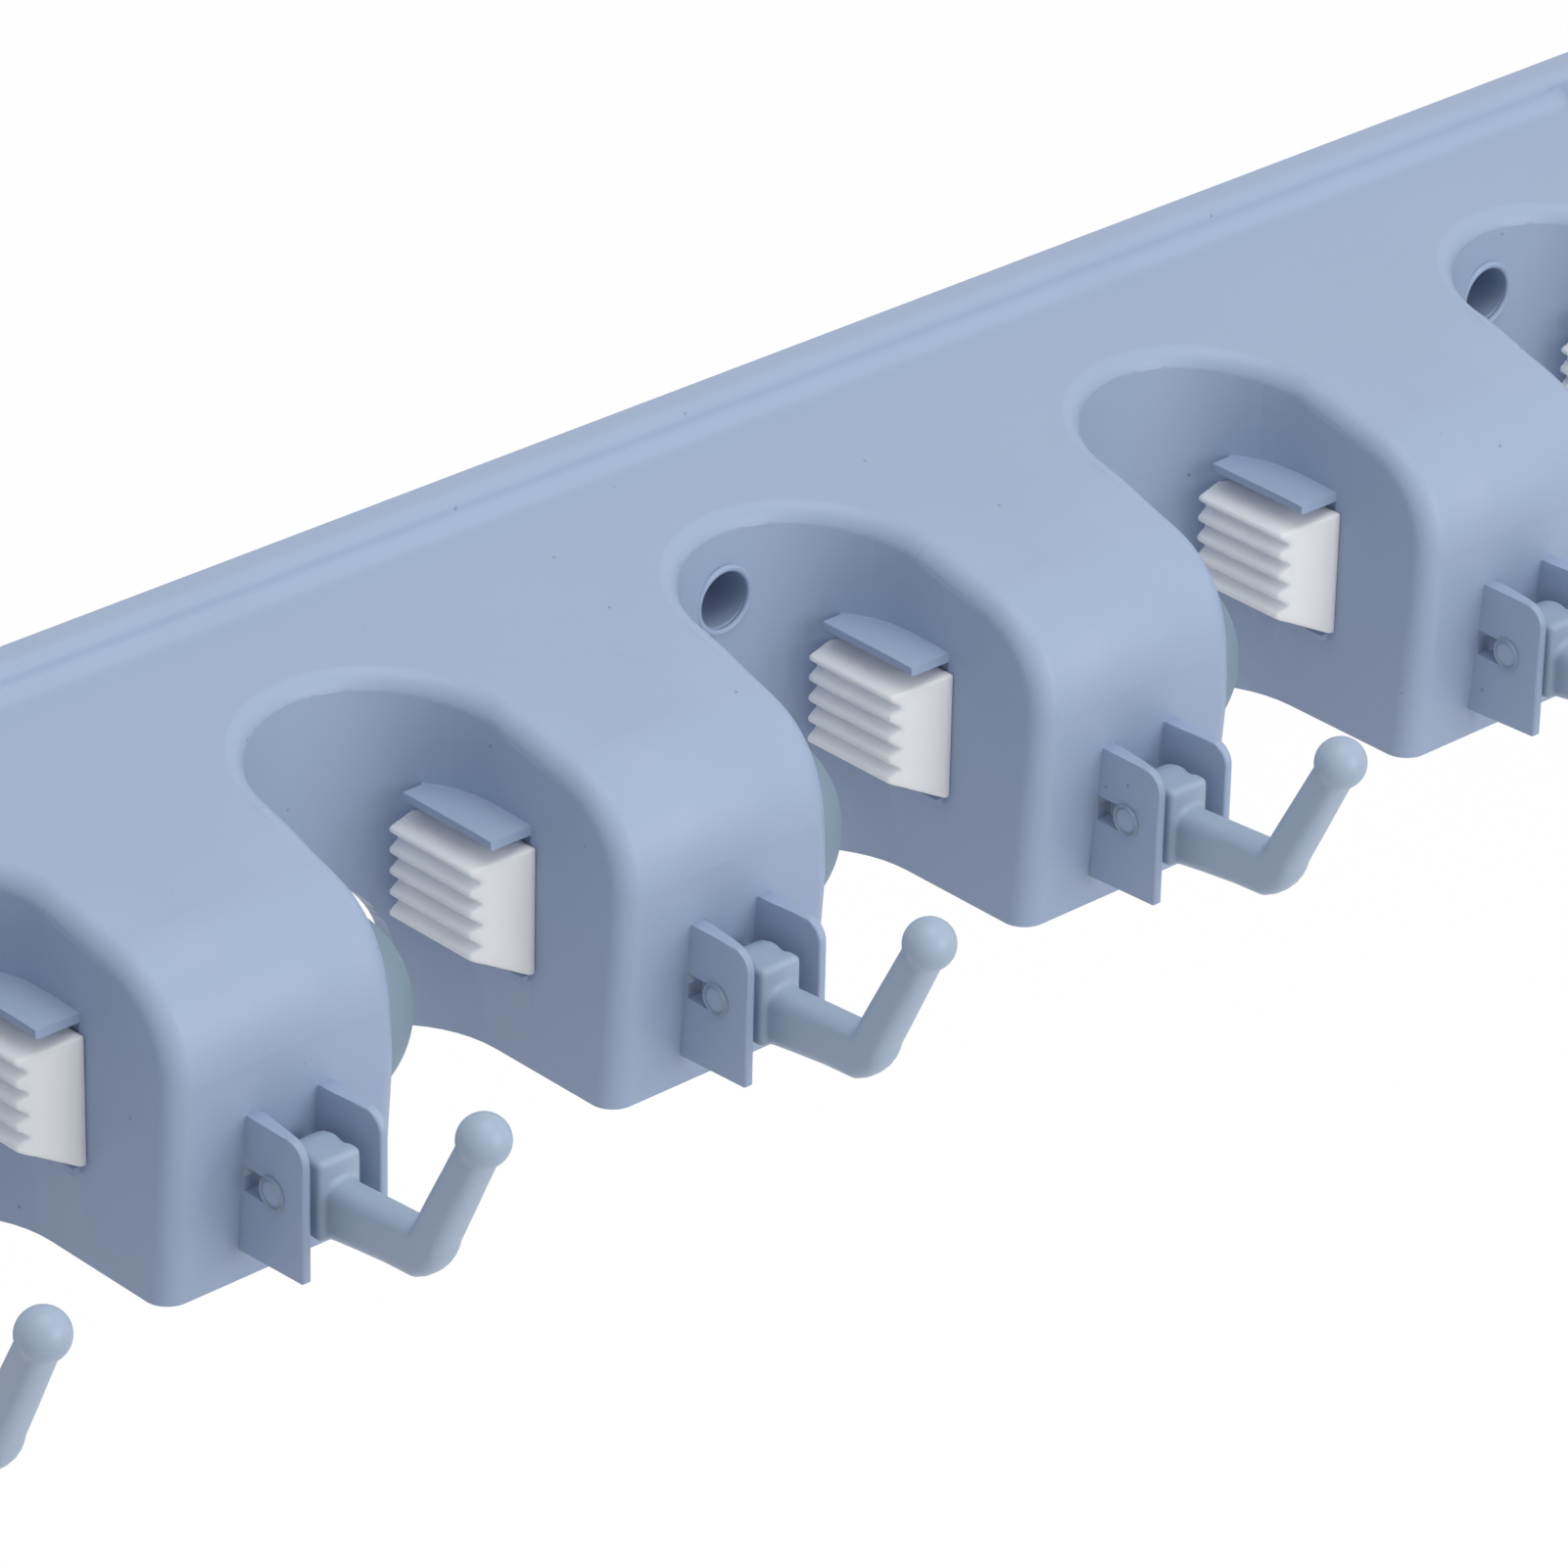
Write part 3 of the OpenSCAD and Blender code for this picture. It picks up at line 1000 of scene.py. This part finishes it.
def round_edges(piece: bpy.types.Object, test: Test, radius_mm: float, steps: int) -> None:
    """Rounds the edges that lie in one place.

    Args:
        piece: The mesh object.
        test: Says whether a point in millimetres is in that place.
        radius_mm: Radius of the round.
        steps: Number of faces across it.
    """
    found = pick(piece, test, edges=True)
    log.info("rounded %d edges of %s", found, piece.name)
    with editing(piece, everything=False):
        bpy.ops.mesh.bevel(offset=radius_mm * MM, segments=steps, affect="EDGES")


def by_a_slot(x: float, near: float, far: float) -> bool:
    """Says whether an x stands within two distances from a slot's wall.

    Args:
        x: The place along the rack in millimetres.
        near: The lesser distance from the wall on the slot's +X side, negative in the slot.
        far: The greater distance.

    Returns:
        Whether it stands there, for some slot.
    """
    return any(near < x - middle - Shell.slot_r < far for middle in SLOTS)


@dataclass
class Shell:
    """The rack's shell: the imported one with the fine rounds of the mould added.

    Lengths are millimetres. y and z are taken from the foot of the tower fronts.

    Attributes:
        node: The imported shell, which stays as it is.
        depth: Distance of that foot from the wall.
        rise: Height of the wall screws over it.
        slot_r: Half the width of a slot.
        rim_r: Radius of a slot's rim.
        well_r: Radius of a screw well.
        lean: Forward lean of the fronts.
        slope: Slope of the roof.
        shoulder_r: Radius of the shoulder.
        shoulder_y: Place of the shoulder's centre.
        shoulder_z: Height of the shoulder's centre.
        ease: How far the rims draw in on the shoulders, into the tower, back and down.
        ease_reach: How far round a rim that is felt.
        half_ears: Half the distance across a tower's ears.
        ball_rest: Centre of a ball at rest, from the middle of its slot.
        ball_way: Direction in which it travels.
        ball_travel: How far it travels.
        ball_room: Radius of the room that is kept for it.
    """

    node: bpy.types.Object
    depth: float = 65.0
    rise: float = 41.0
    slot_r: float = 18.5
    rim_r: float = 3.6
    well_r: float = 4.2
    lean: float = math.radians(4.8)
    slope: float = math.radians(7.4)
    shoulder_r: float = 15.0
    shoulder_y: float = 12.176
    shoulder_z: float = 34.262
    ease: tuple[float, float, float] = (0.6, 1.2, 1.5)
    ease_reach: float = 17.0
    half_ears: float = 7.0
    ball_rest: tuple[float, float, float] = (-20.1, -48.4, -17.7)
    ball_way: tuple[float, float, float] = (-0.6157, 0, 0.788)
    ball_travel: float = 9.0
    ball_room: float = 15.3

    def at(self, x: float, y: float, z: float) -> Vector:
        """Returns the rack's point for x, y and z taken from the foot of the fronts."""
        return Vector((x, y - self.depth, z - self.rise)) * MM

    def foot(self, point: Vector) -> tuple[float, float, float]:
        """Returns a point of the rack in millimetres from the foot of the fronts."""
        return point.x, point.y + self.depth, point.z + self.rise

    def at_seam(self, point: Vector) -> bool:
        """Says whether a point lies where a slot's two rims meet on its wall."""
        x, y, z = self.foot(point)
        on_wall = any(abs(abs(x - middle) - self.slot_r) < 0.13 for middle in SLOTS)
        return on_wall and 22.9 < y < 23.4 and 46.8 < z < 48.4

    def at_root(self, point: Vector) -> bool:
        """Says whether a point lies where a visor grows out of the slot's wall."""
        x, y, z = self.foot(point)
        return 35.3 < z < 37.2 and 8 < y < 34 and any(
            abs(math.hypot(x - middle, max(y - 23.0, 0)) - self.slot_r) < 0.45
            for middle in SLOTS
        )

    def near_ear(self, point: Vector) -> bool:
        """Says whether a point belongs to the ears of some tower, in front of it."""
        x, y, z = self.foot(point)
        beside = any(abs(x - middle) < self.half_ears + 0.1 for middle in TOWERS)
        return beside and y < -2.3 and 4.0 < z < 25.5

    def ear_front(self, point: Vector) -> bool:
        """Says whether a point lies on the front edge of an ear."""
        return self.near_ear(point) and self.foot(point)[1] < -10

    def ear_bottom(self, point: Vector) -> bool:
        """Says whether a point lies on the bottom edge of an ear."""
        return self.near_ear(point) and self.foot(point)[2] < 4.8

    def ear_edge(self, point: Vector) -> bool:
        """Says whether a point lies on the outline of an ear, away from its keyhole."""
        _, y, z = self.foot(point)
        keyhole = math.hypot(y + 7.1, z - 16.1) < 3 or (13.5 < z < 18 and y > -7.2)
        return self.near_ear(point) and y < -2.9 and not keyhole

    def well_edge(self, point: Vector) -> bool:
        """Says whether a point lies on the mouth of a screw well."""
        x, y, z = self.foot(point)
        return y < 41.7 and any(
            abs(math.hypot(x - middle, z - self.rise) - self.well_r) < 0.04 for middle in SLOTS
        )

    def flange_edge(self, point: Vector) -> bool:
        """Says whether a point lies on the front edge of the flange."""
        return abs(point.y + 5) < 0.02 and (point.z > 18.99 or abs(point.x) > 197.4)

    def visor(self, point: Vector) -> bool:
        """Says whether a point lies on the free part of a visor."""
        x, _, z = self.foot(point)
        return 35.4 < z < 37.0 and by_a_slot(x, -7.2, -0.4)

    def ledge(self, point: Vector) -> bool:
        """Says whether a point lies on a ledge under a pad."""
        x, y, z = self.foot(point)
        return 12.3 < z < 13.5 and 10 < y < 38 and by_a_slot(x, -1.6, 0.9)

    def in_groove(self, point: Vector) -> bool:
        """Says whether a point lies on the soft groove between the roof and the flange."""
        x, y, z = self.foot(point)
        return 50.0 < y < 63.2 and z > 54.0 and abs(x) < 184.0

    def in_ball_way(self, point: Vector) -> bool:
        """Says whether a point lies close to the way that a ball travels.

        Args:
            point: The point in millimetres.

        Returns:
            Whether it lies there.
        """
        along = Vector(self.ball_way)
        for middle in SLOTS:
            start = Vector((middle + self.ball_rest[0], *self.ball_rest[1:]))
            step = min(max((point - start).dot(along), 0.0), self.ball_travel)
            if (point - start - along * step).length < self.ball_room:
                return True
        return False

    def kept(self, point: Vector) -> bool:
        """Says whether a point stays as it is: behind a tower's wall, or by a ball's way.

        Args:
            point: The point in millimetres.

        Returns:
            Whether it stays.
        """
        x, y, z = self.foot(point)
        back, up = y - self.shoulder_y, z - self.shoulder_z
        behind = min(
            self.shoulder_r + math.cos(self.lean) * back + math.sin(self.lean) * up,
            self.shoulder_r + math.sin(self.slope) * back - math.cos(self.slope) * up,
        )
        if back < 0 < up:
            behind = self.shoulder_r - math.hypot(back, up)
        beside = min(abs(x - middle) for middle in SLOTS) - self.slot_r
        return (behind > 1.3 and beside > 1.2) or self.in_ball_way(point)

    def on_shoulder(self, point: Vector, side: int) -> bool:
        """Says whether a point lies on a rim where it crosses the shoulder.

        Args:
            point: The point in millimetres.
            side: 1 for towers on the +X side of a slot, or -1.

        Returns:
            Whether it lies there.
        """
        x, y, z = self.foot(point)
        back, up = y - self.shoulder_y, z - self.shoulder_z
        angle = math.degrees(math.atan2(up, -back))
        beside = any(
            -0.2 < side * (x - middle) - self.slot_r < self.rim_r + 0.1 for middle in SLOTS
        )
        return beside and 18 < angle < 72 and not self.kept(point)

    def weld(self, shell: bpy.types.Object) -> None:
        """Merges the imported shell's slivers, where its rounds cross a face.

        Args:
            shell: The shell.
        """
        with editing(shell):
            bpy.ops.mesh.remove_doubles(threshold=0.035 * MM)
            bpy.ops.mesh.dissolve_limited(angle_limit=math.radians(0.25))
        for place, reach in ((self.at_seam, 0.7), (self.at_root, 0.2)):
            log.info("merged %d points of the slot walls", pick(shell, place))
            with editing(shell, everything=False):
                bpy.ops.mesh.remove_doubles(threshold=reach * MM)

    def round_all(self, shell: bpy.types.Object) -> None:
        """Shortens the ears, lifts the ledges and rounds the fine edges.

        Args:
            shell: The shell.
        """
        shift(shell, self.ear_front, (0, 1.8, 0))
        shift(shell, self.ear_bottom, (0, 0, 0.6))
        shift(shell, self.ledge, (0, 0, 0.9))
        round_edges(shell, self.well_edge, 0.55, 3)
        round_edges(shell, self.flange_edge, 1.9, 5)
        round_edges(shell, self.visor, 0.3, 2)
        round_edges(shell, self.ear_edge, 0.35, 2)

    def add_cuts(self, shell: bpy.types.Object) -> None:
        """Cuts the shell's large faces up near the shoulders, so that they can be curved.

        Args:
            shell: The shell.
        """
        planes = [
            (self.at(middle + side * (self.slot_r + step), 0, 0), (1, 0, 0))
            for middle in SLOTS
            for side in (-1, 1)
            for step in (self.rim_r, 5.5, 7.5, 9.5, 11.5, 14.0)
        ]
        planes += [(self.at(0, 0, z), (0, 0, 1)) for z in (16, 20, 24, 28)]
        # Five planes near the shoulders, and then six along the groove by the flange
        cuts_y = (13, 16, 19, 26, 30, 49, 51, 53, 55, 62.5, 63.5)
        planes += [(self.at(0, y, 0), (0, 1, 0)) for y in cuts_y]
        with editing(shell):
            for place, normal in planes:
                bpy.ops.mesh.select_all(action="SELECT")
                bpy.ops.mesh.bisect(plane_co=place, plane_no=normal)
        with editing(shell):
            bpy.ops.mesh.remove_doubles(threshold=0.01 * MM)
            bpy.ops.mesh.dissolve_degenerate(threshold=0.01 * MM)

    def ease_shoulders(self, shell: bpy.types.Object) -> None:
        """Draws the rims inwards where they cross the shoulders, with their surroundings.

        Args:
            shell: The shell.
        """
        for side in (-1, 1):
            log.info("kept %d points as they are", pick(shell, self.kept))
            with editing(shell, everything=False):
                bpy.ops.mesh.hide(unselected=False)
            found = pick(shell, lambda point, s=side: self.on_shoulder(point, s))
            log.info("eased %d points of the shoulders", found)
            with editing(shell, everything=False):
                bpy.ops.transform.translate(
                    value=Vector((side * self.ease[0], self.ease[1], -self.ease[2])) * MM,
                    use_proportional_edit=True,
                    proportional_edit_falloff="SMOOTH",
                    proportional_size=self.ease_reach * MM,
                )
                bpy.ops.mesh.reveal(select=False)

    def soften_groove(self, shell: bpy.types.Object) -> None:
        """Rounds the groove between the roof and the flange over a wider band.

        Args:
            shell: The shell.
        """
        log.info("softened %d points of the groove", pick(shell, self.in_groove))
        with editing(shell, everything=False):
            bpy.ops.mesh.vertices_smooth(factor=0.5, repeat=6, xaxis=False)

    def lips(self) -> list[bpy.types.Object]:
        """Makes the thin raised lips round the mouths of the screw wells.

        Returns:
            The lips, one for every other slot.
        """
        made = []
        for middle in SLOTS[::2]:
            bpy.ops.object.select_all(action="DESELECT")
            bpy.ops.mesh.primitive_torus_add(
                major_radius=4.72 * MM,
                minor_radius=0.5 * MM,
                major_segments=64,
                minor_segments=16,
                location=self.at(middle, 41.2, self.rise),
                rotation=(math.radians(90), 0, 0),
            )
            made.append(bpy.context.active_object)
            bpy.ops.object.transform_apply(location=True, rotation=True, scale=False)
        return made

    def shade(self, shell: bpy.types.Object) -> None:
        """Shades the rounds smooth, the edges sharp and the large faces flat.

        Args:
            shell: The shell.
        """
        bpy.ops.object.shade_smooth_by_angle(angle=math.radians(32))
        log.info("kept %d edges of the visors sharp", pick(shell, self.at_root, edges=True))
        with editing(shell, everything=False):
            bpy.ops.mesh.mark_sharp()
        even = shell.modifiers.new("even", "WEIGHTED_NORMAL")
        even.keep_sharp = True
        bpy.ops.object.modifier_apply(modifier=even.name)

    def build(self, name: str) -> bpy.types.Object:
        """Makes the shell.

        Args:
            name: Its name.

        Returns:
            The shell.
        """
        shell = merged_copy(self.node, name)
        self.weld(shell)
        self.round_all(shell)
        self.add_cuts(shell)
        self.ease_shoulders(shell)
        self.soften_groove(shell)
        shell = join([shell, *self.lips()])
        self.shade(shell)
        shell.name = name
        return shell


@dataclass
class Pad:
    """A grip pad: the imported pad's shape, softened as moulded rubber is.

    Lengths are millimetres, for the pad of the first slot.

    Attributes:
        node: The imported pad, which stays as it is.
        crest_x: Place of the rods in the ribs' crests.
        low_in: How far the lowest one is set back.
        low_z: Height of the lowest one.
        pitch: Distance from rib to rib.
        ribs: Number of ribs.
        ends: Where the rods start and end along Y.
        crest_r: Radius of the rods.
    """

    node: bpy.types.Object
    crest_x: float = -133.55
    low_in: float = 0.1
    low_z: float = -22.2
    pitch: float = 3.15
    ribs: int = 5
    ends: tuple[float, float] = (-46.4, -30.4)
    crest_r: float = 0.75

    def build(self, name: str) -> bpy.types.Object:
        """Makes the soft pad.

        Args:
            name: Its name.

        Returns:
            The pad.
        """
        pad = merged_copy(self.node, name)
        places = [(self.crest_x, self.low_z + rib * self.pitch) for rib in range(self.ribs)]
        places[0] = (self.crest_x + self.low_in, self.low_z)
        crests = [bar(place, self.ends, self.crest_r) for place in places]
        pad = join([pad, *crests])
        soften(pad, 0.24, 9)
        return settle(pad, name)


def build_hooks(palette: Palette) -> None:
    """Models the first hook, copies it to the others and puts each on its body.

    Args:
        palette: Hands out the finishes.
    """
    first = Hook(Vector((TOWERS[0], -72.1, -24.9)) * MM).build("hook_soft_1")
    for number, middle in enumerate(TOWERS, start=1):
        hook = first
        if number > 1:
            step = Vector((middle - TOWERS[0], 0, 0)) * MM
            hook = copy_of(first, f"hook_soft_{number}", step)
        palette.dress(hook, Finish.HOOK)
        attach(hook, f"hook_{number}")
        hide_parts(f"hook_{number}")


def build_pads(palette: Palette) -> None:
    """Softens the first pad, copies it to the other slots and puts each on the rack.

    Args:
        palette: Hands out the finishes.
    """
    first = Pad(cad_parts["grip_pad_1"]).build("grip_pad_soft_1")
    for number, middle in enumerate(SLOTS, start=1):
        pad = first
        if number > 1:
            step = Vector((middle - SLOTS[0], 0, 0)) * MM
            pad = copy_of(first, f"grip_pad_soft_{number}", step)
        palette.dress(pad, Finish.PAD)
        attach(pad, "rack")
        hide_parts(f"grip_pad_{number}")


def build_shell(palette: Palette) -> None:
    """Finishes the shell and puts it on the rack.

    Args:
        palette: Hands out the finishes.
    """
    shell = Shell(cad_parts["rack_shell"]).build("rack_shell_moulded")
    palette.dress(shell, Finish.SHELL)
    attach(shell, "rack")
    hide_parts("rack_shell")


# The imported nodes' finishes, by how their names begin
FINISHES: dict[str, Finish] = {
    "rack_shell": Finish.SHELL,
    "hook": Finish.HOOK,
    "grip_pad": Finish.PAD,
    "grip_ball": Finish.BALL,
    "ball_guide": Finish.GUIDE,
    "guide_screws": Finish.SCREW,
}


def main() -> None:
    """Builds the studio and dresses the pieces."""
    logging.basicConfig(level=logging.INFO, format="%(name)s: %(message)s")
    Studio().build()
    palette = Palette()
    build_shell(palette)
    build_hooks(palette)
    build_pads(palette)
    for name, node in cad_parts.items():
        for stem, finish in FINISHES.items():
            if name.startswith(stem):
                palette.dress(node, finish)
        log.info("dressed %s", name)


if __name__ == "__main__":
    main()
